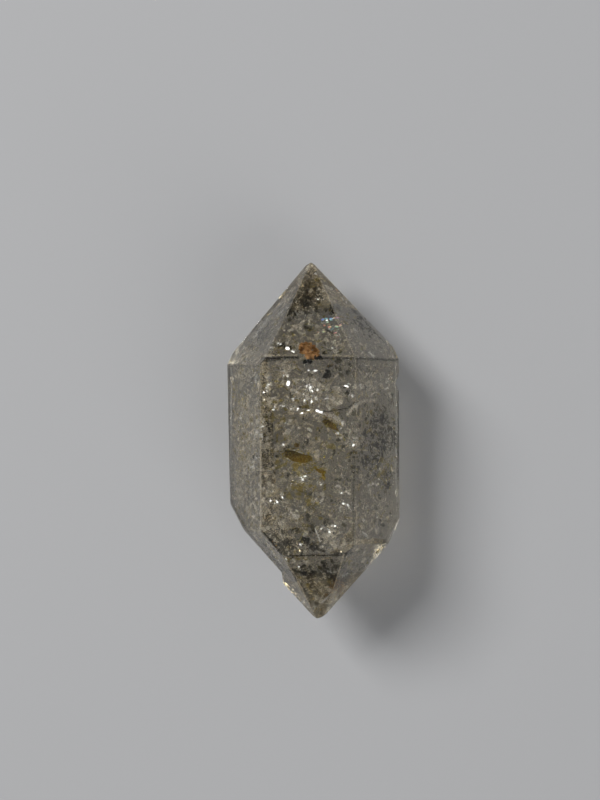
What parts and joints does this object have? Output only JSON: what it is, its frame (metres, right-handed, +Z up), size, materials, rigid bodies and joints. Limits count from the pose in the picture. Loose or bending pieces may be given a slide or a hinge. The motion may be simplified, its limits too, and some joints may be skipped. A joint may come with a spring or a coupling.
{
  "type": "double terminated quartz crystal",
  "caption": "Clear smoky grey quartz crystal with flat prism faces and a faceted point at each end, lying on one prism face; a loose natural specimen.",
  "frame": {"origin": "under the middle of the crystal, on the surface it lies on", "axes": "+Y along the long axis of the crystal towards its upper point, +Z up, away from the resting prism face, +X across"},
  "size_m": [0.0146, 0.03, 0.0121],
  "materials": {
    "quartz": "clear smoky grey crystal, glassy flat faces with worn edges",
    "iron_stain": "earthy orange and amber iron oxide inside the crystal",
    "veil": "whitish healed fractures and tiny bright flakes inside the crystal",
    "dark_inclusion": "dark specks inside the crystal"
  },
  "bodies": {
    "root": {"quartz_crystal": "quartz"}
  },
  "joints": []
}
